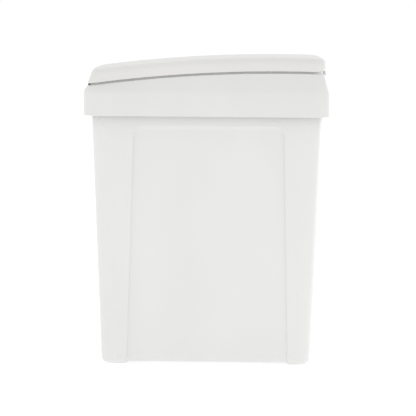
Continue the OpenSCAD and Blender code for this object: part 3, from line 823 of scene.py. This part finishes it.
# Knuckles for the hinge pins, cheeks for the roller and the two long ribs, joined to the shell
def addLidBrackets(obj):
    hingeX, hingeZ = can["hinge"]
    rollerX, rollerZ = (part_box("lid_roller")[0][i] / mm + lid["rollerRadius"] for i in (0, 2))
    parts = newMesh()
    r = lid["knuckleRadius"]
    web = [(hingeX + x, hingeZ + z) for x, z in lid["knuckleWeb"]]
    for y in (-lid["hingeY"], lid["hingeY"]):
        half = lid["knuckleWidth"] / 2
        addSlab(parts, knuckleShape((hingeX, hingeZ), r, web, -1), y - half, y + half)
    r = lid["cheekRadius"]
    front, rear, y = rollerX - lid["cheekAhead"], rollerX + lid["cheekBehind"], lid["cheekMiddle"]
    ends = [(front, underSkin(front, y)), (rear, underSkin(rear, y) - lid["cheekTrim"])]
    for side in (-1, 1):
        near, far = sorted((side * lid["cheekIn"], side * (lid["cheekIn"] + lid["cheekWidth"])))
        addSlab(parts, knuckleShape((rollerX, rollerZ), r, ends, -1), near, far)
    ribX = [-150 + 10 * i for i in range(31)]
    for side in (-1, 1):
        near, far = sorted((side * lid["ribPlace"], side * (lid["ribPlace"] + lid["ribWidth"])))
        lower = [(x, seamHeight(x) + lid["ribLow"]) for x in ribX]
        upper = [(x, underSkin(x, lid["ribPlace"])) for x in reversed(ribX)]
        addSlab(parts, lower + upper, near, far)
    tool = linkMesh("lidBrackets", parts)
    addBevel(tool, 0.4, 2, 40)
    bakeModifiers(tool)
    booleaned(obj, tool, "UNION")


makeLid()
print("lid made")

# Geometry Nodes trees

def newTree(name, inputs):
    tree = bpy.data.node_groups.new(name, "GeometryNodeTree")
    tree.interface.new_socket("Geometry", in_out="OUTPUT", socket_type="NodeSocketGeometry")
    tree.interface.new_socket("Geometry", in_out="INPUT", socket_type="NodeSocketGeometry")
    for label, kind in inputs:
        tree.interface.new_socket(label, in_out="INPUT", socket_type=kind)
    return tree, tree.nodes.new("NodeGroupInput").outputs


def closeTree(tree, given, geometry):
    realized = addNode(tree, "GeometryNodeRealizeInstances", [("Geometry", geometry)])
    painted = addNode(tree, "GeometryNodeSetMaterial",
                      [("Geometry", realized.outputs[0]), ("Material", given["Finish"])])
    out = tree.nodes.new("NodeGroupOutput")
    tree.links.new(painted.outputs[0], out.inputs["Geometry"])


# Repeats the mesh it is given on the points of a grid, each turned by a random amount up to Turn
def makeGridTree():
    tree, given = newTree("repeatOnGrid", [
        ("Width", "NodeSocketFloat"), ("Length", "NodeSocketFloat"), ("Columns", "NodeSocketInt"),
        ("Rows", "NodeSocketInt"), ("Turn", "NodeSocketFloat"), ("Seed", "NodeSocketInt"),
        ("Finish", "NodeSocketMaterial")])
    grid = addNode(tree, "GeometryNodeMeshGrid", [
        ("Size X", given["Width"]), ("Size Y", given["Length"]),
        ("Vertices X", given["Columns"]), ("Vertices Y", given["Rows"])])
    chance = addNode(tree, "FunctionNodeRandomValue", [("Seed", given["Seed"])], data_type="FLOAT")
    most = next(s for s in chance.inputs if s.enabled and s.name == "Max")
    tree.links.new(given["Turn"], most)
    amount = next(s for s in chance.outputs if s.enabled)
    turn = addNode(tree, "ShaderNodeCombineXYZ", [("Z", amount)])
    rotation = addNode(tree, "FunctionNodeEulerToRotation", [("Euler", turn.outputs[0])])
    copies = addNode(tree, "GeometryNodeInstanceOnPoints", [
        ("Points", grid.outputs["Mesh"]), ("Instance", given["Geometry"]), ("Rotation", rotation.outputs[0])])
    closeTree(tree, given, copies.outputs["Instances"])
    return tree


# Bends a round wire along a path, with each corner's radius read from the path's points
def makeWireTree():
    tree, given = newTree("wireAlongPath", [
        ("Radius", "NodeSocketFloat"), ("Sides", "NodeSocketInt"), ("Steps", "NodeSocketInt"),
        ("Finish", "NodeSocketMaterial")])
    path = addNode(tree, "GeometryNodeMeshToCurve", [("Mesh", given["Geometry"])])
    bend = addNode(tree, "GeometryNodeInputNamedAttribute", data_type="FLOAT", Name="bend")
    corner = addNode(tree, "GeometryNodeFilletCurve", [
        ("Curve", path.outputs[0]), ("Count", given["Steps"]),
        ("Radius", bend.outputs["Attribute"])], mode="POLY")
    ring = addNode(tree, "GeometryNodeCurvePrimitiveCircle", [
        ("Resolution", given["Sides"]), ("Radius", given["Radius"])])
    wire = addNode(tree, "GeometryNodeCurveToMesh", [
        ("Curve", corner.outputs[0]), ("Profile Curve", ring.outputs[0])])
    wire.inputs["Fill Caps"].default_value = True
    closeTree(tree, given, wire.outputs[0])
    return tree


gridTree, wireTree = makeGridTree(), makeWireTree()


def runTree(obj, tree, values):
    modifier = obj.modifiers.new("tree", "NODES")
    modifier.node_group = tree
    for item in tree.interface.items_tree:
        if item.item_type == "SOCKET" and item.in_out == "INPUT" and item.name in values:
            modifier[item.identifier] = values[item.name]
    bakeModifiers(obj)


# Repeats an object on a grid of (width, length, columns, rows) and puts the result in its place
def repeated(obj, place, grid, finish, turn=0.0):
    width, length, columns, rows = grid
    runTree(obj, gridTree, {"Width": width * mm, "Length": length * mm, "Columns": columns, "Rows": rows,
                            "Turn": turn, "Seed": 4, "Finish": finish})
    obj.data.transform(place)


print("node trees made")

# Places and small shapes

def moved(x, y, z):
    return Matrix.Translation((x * mm, y * mm, z * mm))


def middleOf(node):
    low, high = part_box(node)
    return (low + high) / 2 / mm


axle = middleOf("pedal_axle")
slide = next(j for j in frame["joints"] if j["name"] == "rod_slide")
rodLean = math.atan2(slide["axis"][0], slide["axis"][2])
leverTilt = math.radians(3.5)  # the lever slopes a little at rest
# lever pieces are made level about the axle, and rod pieces upright about z
leverFrame = moved(axle.x, 0, axle.z) @ Matrix.Rotation(leverTilt, 4, "Y")
rodMiddle = middleOf("push_rod")
rodFrame = moved(rodMiddle.x - rodMiddle.z * math.tan(rodLean), 0, 0) @ Matrix.Rotation(rodLean, 4, "Y")


# Turns a profile of (radius, height) points about z. A closed profile makes a ring.
def addLathe(mesh, profile, steps=36, closed=False):
    rings = []
    for r, z in profile:
        turns = [2 * math.pi * i / steps for i in range(steps)]
        rings.append(addPoints(mesh, [(r * math.cos(a), r * math.sin(a), z) for a in turns]))
    for low, high in zip(rings, rings[1:]):
        bridge(mesh, low, high)
    if closed:
        bridge(mesh, rings[-1], rings[0])
    else:
        mesh["faces"].append(tuple(reversed(rings[0])))
        mesh["faces"].append(tuple(rings[-1]))
    return mesh


def turnedMesh(mesh, matrix):
    mesh["points"] = [tuple(matrix @ Vector(p)) for p in mesh["points"]]
    return mesh


alongY = Matrix.Rotation(math.radians(-90), 4, "X")  # turns a lathed piece's axis from z to y


# Inner bucket

bucket = {
    "low": 40, "rim": 378, "wall": 2, "front": 143, "frontLean": 13, "rear": 119, "rearLean": 14,
    "half": 90, "sideLean": 14, "corner": 18, "cornerGrow": 8, "leastCorner": 2, "bottomInset": 30,
    "notchLow": 44, "notchHigh": 46.3, "notchTop": 99,  # room for the toe recess
    "nestHeight": 346, "nestStep": 0.7, "nestSlope": 4,  # a shallow step in the wall
    "rimOut": 4, "rimDrop": 7, "rimFold": 1.6, "rimTop": 2,
    "earPlace": 102.2, "earWall": 3, "earRound": 6, "earFoot": 9, "earSink": 1.5,
    "middle": -11.5, "pivot": 384.5, "holeRadius": 1.83, "holeReach": 130,
    "fan": 0.12,  # spreads the points along the flat front below the toe recess
}


def bucketRing(inset, z, notch):
    b = bucket
    t = (z - b["low"]) / (b["rim"] - b["low"])
    front = -b["front"] - b["frontLean"] * t + inset
    flat = outline(front, b["rear"] + b["rearLean"] * t - inset, b["half"] + b["sideLean"] * t - inset,
                   max(b["corner"] + b["cornerGrow"] * t - inset, b["leastCorner"]))
    cut = front + notch
    return [(max(x, cut), y * (1 - b["fan"] * max(cut - x, 0) / b["notchHigh"]), z) for x, y in flat]


def makeBucket():
    b = bucket
    w, low, rim, top = b["wall"], b["low"], b["rim"], b["notchTop"]
    near, far, out, bottom = b["notchLow"], b["notchHigh"], b["rimOut"], b["bottomInset"]
    nest, nestLow, step = b["nestHeight"], b["nestHeight"] - b["nestSlope"], b["nestStep"]
    rimTop, rimLow, fold = rim - b["rimTop"], rim - b["rimDrop"], b["rimFold"] - out
    # inset, height, how far the front is moved back for the toe recess, softness
    profile = softened([
        (bottom, low, near, 0), (0, low, near, 8), (0, top, far, 5), (0, top, 0, 5),
        (step, nestLow, 0, 2), (0, nest, 0, 2), (0, rimTop, 0, 0.8), (fold, rimTop, 0, 0.8),
        (fold, rimLow, 0, 0.5), (-out, rimLow, 0, 0.6), (-out, rim, 0, 1.6), (w, rim, 0, 1.2),
        (w, nest, 0, 2), (w + step, nestLow, 0, 2), (w, top + w, 0, 4), (w, top + w, far, 4),
        (w, low + w, near, 7), (bottom, low + w, near, 0)], closed=False, steps=5)
    mesh = newMesh()
    rings = [addPoints(mesh, bucketRing(*p)) for p in profile]
    for inner, outer in zip(rings, rings[1:]):
        bridge(mesh, inner, outer)
    mesh["faces"].append(tuple(reversed(rings[0])))
    mesh["faces"].append(tuple(rings[-1]))
    obj = linkMesh("innerBucket", mesh)
    ears = newMesh()
    x, z = b["middle"], b["pivot"]
    foot = [(x - b["earFoot"], rim - b["earSink"]), (x + b["earFoot"], rim - b["earSink"])]
    for side in (-1, 1):
        y0, y1 = sorted((side * b["earPlace"], side * (b["earPlace"] + b["earWall"])))
        addSlab(ears, knuckleShape((x, z), b["earRound"], foot, 1), y0, y1)
    tool = linkMesh("ears", ears)
    addBevel(tool, 0.5, 2, 40)
    bakeModifiers(tool)
    booleaned(obj, tool, "UNION")
    hole = newMesh()
    addSlab(hole, circle(x, z, b["holeRadius"], 32), -b["holeReach"], b["holeReach"])
    booleaned(obj, linkMesh("pivotHoles", hole), "DIFFERENCE")
    finishNode(obj, "inner_bucket", sharp=34)


makeBucket()
print("bucket made")

# Bail handle and its grip

bail = {"reach": 48, "half": 95, "end": 107.2, "wire": 1.75, "smallBend": 4, "largeBend": 16,
        "headRadius": 2.7, "headFrom": 105.6, "headTo": 107.6}
grip = {"half": 42, "radius": 6.5, "waist": 5.7, "hole": 1.83, "flange": 4, "ribs": 11, "ribWidth": 2.6}


def makeBail():
    x, z = bucket["middle"], bucket["pivot"]
    reach, half, end = bail["reach"], bail["half"], bail["end"]
    path = [(0, end, 0), (0, half, bail["smallBend"]), (-reach, half, bail["largeBend"])]
    path += [(px, -py, bend) for px, py, bend in reversed(path)]
    data = bpy.data.meshes.new("bailPath")
    points = [((x + px) * mm, py * mm, z * mm) for px, py, _ in path]
    data.from_pydata(points, [(i, i + 1) for i in range(len(path) - 1)], [])
    bends = data.attributes.new("bend", "FLOAT", "POINT")
    bends.data.foreach_set("value", [bend * mm for _, _, bend in path])
    obj = bpy.data.objects.new("bucketHandle", data)
    bpy.context.scene.collection.objects.link(obj)
    runTree(obj, wireTree, {"Radius": bail["wire"] * mm, "Sides": 20, "Steps": 10,
                            "Finish": materials["bail_wire"]})
    heads = newMesh()
    for side in (-1, 1):
        head = addLathe(newMesh(), softened([
            (0.2, bail["headFrom"], 0), (bail["headRadius"], bail["headFrom"], 0.3),
            (bail["headRadius"], bail["headTo"], 0.8), (0.2, bail["headTo"] + 0.3, 0)], closed=False), 24)
        turnedMesh(head, Matrix.Translation((x, 0, z)) @ Matrix.Rotation(math.radians(-90 * side), 4, "X"))
        shift = len(heads["points"])
        heads["points"] += head["points"]
        heads["faces"] += [tuple(v + shift for v in f) for f in head["faces"]]
    booleaned(obj, linkMesh("bailHeads", heads), "UNION")
    finishNode(obj, "bucket_handle")


def makeGrip():
    place = moved(bucket["middle"] - bail["reach"], 0, bucket["pivot"])
    half, r, waist, hole, flange = grip["half"], grip["radius"], grip["waist"], grip["hole"], grip["flange"]
    profile = softened([
        (hole, -half, 0.3), (r, -half, 1.2), (r, flange - half, 1.2), (waist, flange + 1.5 - half, 1),
        (waist, half - flange - 1.5, 1), (r, half - flange, 1.2), (r, half, 1.2), (hole, half, 0.3)])
    obj = linkMesh("handleGrip", addLathe(newMesh(), profile, 48, closed=True))
    obj.data.transform(place @ alongY)
    finishNode(obj, "handle_grip")
    w = grip["ribWidth"] / 2
    rib = softened([(waist - 0.6, -w, 0.1), (r - 0.1, -w * 0.6, 0.5),
                    (r - 0.1, w * 0.6, 0.5), (waist - 0.6, w, 0.1)])
    mesh = turnedMesh(addLathe(newMesh(), rib, 48, closed=True), Matrix.Rotation(math.radians(90), 4, "X"))
    ribs = linkMesh("gripRibs", mesh)
    length = 2 * (half - flange - 6)
    repeated(ribs, place, (0, length, 1, grip["ribs"]), materials["grip_plastic"])
    finishObject(ribs, "gripRibs", "handle", "grip_plastic")


makeBail()
makeGrip()
print("handle made")

# Screws, all of one pattern with a plain cross recess

screw = {"headRadius": 3.4, "headHeight": 2, "dome": 0.7, "shank": 1.5, "root": 1.25, "pitch": 0.8,
         "slotLength": 1.9, "slotWidth": 0.45, "slotDepth": 1.1}


def makeScrew(length):
    r, h = screw["headRadius"], screw["headHeight"]
    head = softened([(0.2, -h, 0), (r * 0.55, -h + 0.15, 1), (r, screw["dome"] - h, 0.9), (r, 0, 0.25),
                     (screw["shank"], 0, 0)], closed=False)
    turns = int((length - 1) / screw["pitch"])
    thread = []
    for i in range(turns):
        z = 0.4 + screw["pitch"] * i
        thread += [(screw["shank"], z), (screw["root"], z + screw["pitch"] / 2)]
    mesh = addLathe(newMesh(), head + thread + [(0.9, length - 0.3), (0.3, length)], 28)
    obj = linkMesh("screw", mesh)
    long, wide, low, high = screw["slotLength"], screw["slotWidth"], -h - 1, screw["slotDepth"] - h
    slot = [(-long, low), (long, low), (long * 0.6, high), (-long * 0.6, high)]
    for across in (False, True):
        cutter = newMesh()
        addSlab(cutter, slot, -wide, wide)
        if across:
            turnedMesh(cutter, Matrix.Rotation(math.radians(90), 4, "Z"))
        booleaned(obj, linkMesh("screwSlot", cutter), "DIFFERENCE")
    return obj


zToX = Matrix(((0, 0, 1, 0), (1, 0, 0, 0), (0, 1, 0, 0), (0, 0, 0, 1)))  # turns z to x, x to y and y to z
screwGroups = {  # shank length, the middle of the group, and its width, length, columns and rows
    "bracket_screws": (8.5, moved(0, 0, 27), (32, 58, 2, 2)),
    "guard_screws": (6.4, rodFrame @ moved(10, 0, 210) @ zToX, (52, 260, 2, 2)),
    "tread_screws": (4.4, leverFrame @ moved(-128, 0, 2), (20, 0, 2, 1)),
}
for node, (length, middle, grid) in screwGroups.items():
    screws = makeScrew(length)
    repeated(screws, middle, grid, materials["screw_steel"], turn=math.pi)
    finishNode(screws, node)
print("screws made")

# Rubber grip on the tread, and the feet

tread = {"left": -147.8, "length": 31.6, "half": 47.8, "low": 7, "thick": 1.6,
         "ribRise": 0.9, "ribWidth": 2.2, "ribHalf": 45.8, "ribs": 6, "ribStep": 5.5, "ribFirst": 3.1}


def makeTreadGrip():
    t = tread
    x0, x1, z0, z1 = t["left"], t["left"] + t["length"], t["low"], t["low"] + t["thick"]
    pad = newMesh()
    addSlab(pad, [(x0, z0), (x1, z0), (x1, z1), (x0, z1)], -t["half"], t["half"])
    obj = linkMesh("treadGrip", pad)
    addBevel(obj, 0.5, 3, 40)
    bakeModifiers(obj)
    obj.data.transform(leverFrame)
    finishNode(obj, "tread_grip")
    half, rise = t["ribWidth"] / 2, t["ribRise"]
    arch = [(half * math.cos(math.radians(a)), rise * math.sin(math.radians(a))) for a in range(0, 181, 15)]
    rib = newMesh()
    addSlab(rib, [(-half, -0.3), (half, -0.3)] + arch, -t["ribHalf"], t["ribHalf"])
    span = t["ribStep"] * (t["ribs"] - 1)
    ribs = linkMesh("treadRibs", rib)
    place = leverFrame @ moved(x0 + t["ribFirst"] + span / 2, 0, z1)
    repeated(ribs, place, (span, 0, t["ribs"], 1), materials["rubber"])
    finishObject(ribs, "treadRibs", "pedal", "rubber")


foot = {  # radii and heights; the ring is what stands on the floor
    "pad": 9, "padTop": 2, "stem": 4, "stemTop": 12,
    "recess": 4.2, "recessDepth": 0.7, "ringInside": 5.0, "ringOutside": 8.4,
}


def makeFeet():
    pad, stem, deep = foot["pad"], foot["stem"], foot["recessDepth"]
    profile = softened([
        (0.3, deep, 0), (foot["recess"], deep, 0.5), (foot["ringInside"], 0, 0.5),
        (foot["ringOutside"], 0, 0.6), (pad, deep, 0.5), (pad, foot["padTop"], 0.5),
        (stem, foot["padTop"], 0.3), (stem, foot["stemTop"], 1), (0.3, foot["stemTop"], 0)], closed=False)
    standsFor = [n for n in nodes if n.startswith("foot_")]
    place = middleOf(standsFor[0])
    feet = linkMesh("feet", addLathe(newMesh(), profile, 40))
    repeated(feet, moved(0, 0, 0), (2 * abs(place.x), 2 * abs(place.y), 2, 2), materials["rubber"])
    finishNode(feet, *standsFor, name="feet")


makeTreadGrip()
makeFeet()
print("tread grip and feet made")

# Spring clips on the axle: a ring with a mouth and three inner teeth

clip = {"outer": 6.3, "inner": 3.02, "relief": 4.5, "mouth": 38, "teeth": (90, 215, 325), "toothHalf": 16,
        "from": 20.4, "to": 21.6}


def makeClips():
    a0, a1 = -90 + clip["mouth"], 270 - clip["mouth"]
    outerArc = [math.radians(a0 + (a1 - a0) * i / 40) for i in range(41)]
    shape = [(axle.x + clip["outer"] * math.cos(a), axle.z + clip["outer"] * math.sin(a)) for a in outerArc]
    for i in range(81):
        degrees = a1 + (a0 - a1) * i / 80
        tooth = any(abs((degrees - place + 180) % 360 - 180) < clip["toothHalf"] for place in clip["teeth"])
        r = clip["inner"] if tooth else clip["relief"]
        a = math.radians(degrees)
        shape.append((axle.x + r * math.cos(a), axle.z + r * math.sin(a)))
    for node, side in (("axle_clip_left", 1), ("axle_clip_right", -1)):
        y0, y1 = sorted((side * clip["from"], side * clip["to"]))
        mesh = newMesh()
        addSlab(mesh, shape, y0, y1)
        obj = linkMesh(node, mesh)
        addBevel(obj, 0.12, 1, 50)
        bakeModifiers(obj)
        finishNode(obj, node)


makeClips()
print("clips made")

# Copies of the other CAD pieces, with their faces joined up and their edges rounded: width in mm and steps
roundedPieces = {
    "base_chassis": (0.6, 2), "axle_bracket_left": (0.6, 2), "axle_bracket_right": (0.6, 2),
    "pedal_axle": (0.5, 2), "rod_guard": (0.5, 2), "rod_guide_lower": (0.6, 2), "rod_guide_upper": (0.6, 2),
    "pedal_lever": (0.5, 2), "lever_bush_left": (0.3, 2), "lever_bush_right": (0.3, 2), "lever_pad": (0.4, 2),
    "pedal_tread": (0.8, 3), "push_rod": (0.5, 2), "rod_foot": (0.5, 2), "rod_tip": (0.5, 2),
    "hinge_pin_left": (0.4, 2), "hinge_pin_right": (0.4, 2), "lid_bumper_left": (0.5, 3),
    "lid_bumper_right": (0.5, 3), "lid_roller": (0.5, 3), "roller_pin": (0.4, 2),
}


def roundedCopy(node, width, steps):
    source = nodes[node].data
    data = bpy.data.meshes.new(camelName(node))
    data.from_pydata([v.co for v in source.vertices], [], [tuple(p.vertices) for p in source.polygons])
    bm = bmesh.new()
    bm.from_mesh(data)
    bmesh.ops.remove_doubles(bm, verts=bm.verts, dist=0.01 * mm)
    bmesh.ops.dissolve_limit(bm, angle_limit=math.radians(1.5), verts=bm.verts, edges=bm.edges)
    bm.to_mesh(data)
    bm.free()
    obj = bpy.data.objects.new(camelName(node), data)
    bpy.context.scene.collection.objects.link(obj)
    addBevel(obj, width, steps, 40)
    bakeModifiers(obj)
    finishNode(obj, node)


for node, (width, steps) in roundedPieces.items():
    roundedCopy(node, width, steps)
print("rounded copies made:", len(roundedPieces))

# Floor, light and camera

stage = {  # in metres, but for the lens in mm and the roll in degrees
    "floorSize": 14.0, "floorGap": 0.0003, "floorColour": (0.45, 0.45, 0.45), "floorGlow": 0.75, "sky": 1.02,
    "softbox": (2.0, 1.9, 0.7), "softboxAim": (0, 0, 0.2), "softboxSize": (0.9, 1.2), "softboxWatts": 16,
    "cameraAside": 0.0018, "cameraBack": 4.03, "cameraHeight": 0.56,
    "lookHeight": 0.2243, "lens": 231.4, "roll": 0.48,
}


def makeStage():
    size = stage["floorSize"]
    data = bpy.data.meshes.new("floor")
    low = -stage["floorGap"]
    corners = [(-size, -size, low), (size, -size, low), (size, size, low), (-size, size, low)]
    data.from_pydata(corners, [], [(0, 1, 2, 3)])
    floor = bpy.data.objects.new("floor", data)
    bpy.context.scene.collection.objects.link(floor)
    material, _, shader, _ = makeMaterial("floorPaint")
    shader.inputs["Base Color"].default_value = (*stage["floorColour"], 1)
    shader.inputs["Roughness"].default_value = 0.9
    shader.inputs["Specular IOR Level"].default_value = 0.0
    shader.inputs["Emission Color"].default_value = (1, 1, 1, 1)
    shader.inputs["Emission Strength"].default_value = stage["floorGlow"]
    data.materials.append(material)
    world = bpy.data.worlds.new("studio")
    bpy.context.scene.world = world
    world.use_nodes = True
    background = world.node_tree.nodes["Background"]
    background.inputs["Color"].default_value = (1, 1, 1, 1)
    background.inputs["Strength"].default_value = stage["sky"]


def makeSoftbox():
    data = bpy.data.lights.new("rearSoftbox", "AREA")
    data.shape = "RECTANGLE"
    data.size, data.size_y = stage["softboxSize"]
    data.energy = stage["softboxWatts"]
    light = bpy.data.objects.new("rearSoftbox", data)
    light.location = stage["softbox"]
    light.rotation_mode = "QUATERNION"
    aim = Vector(stage["softboxAim"]) - Vector(stage["softbox"])
    light.rotation_quaternion = aim.to_track_quat("-Z", "Y")
    bpy.context.scene.collection.objects.link(light)


def makeCamera():
    data = bpy.data.cameras.new("camera")
    data.lens = stage["lens"]
    data.sensor_width = 36
    camera = bpy.data.objects.new("camera", data)
    bpy.context.scene.collection.objects.link(camera)
    camera.location = (stage["cameraAside"], -stage["cameraBack"], stage["cameraHeight"])
    aim = Vector((stage["cameraAside"], 0, stage["lookHeight"])) - camera.location
    camera.rotation_mode = "QUATERNION"
    look = aim.to_track_quat("-Z", "Y")
    camera.rotation_quaternion = look @ Quaternion((0, 0, 1), math.radians(stage["roll"]))
    bpy.context.scene.camera = camera


makeStage()
makeSoftbox()
makeCamera()
bpy.context.scene.view_settings.view_transform = "Standard"
print("stage made")
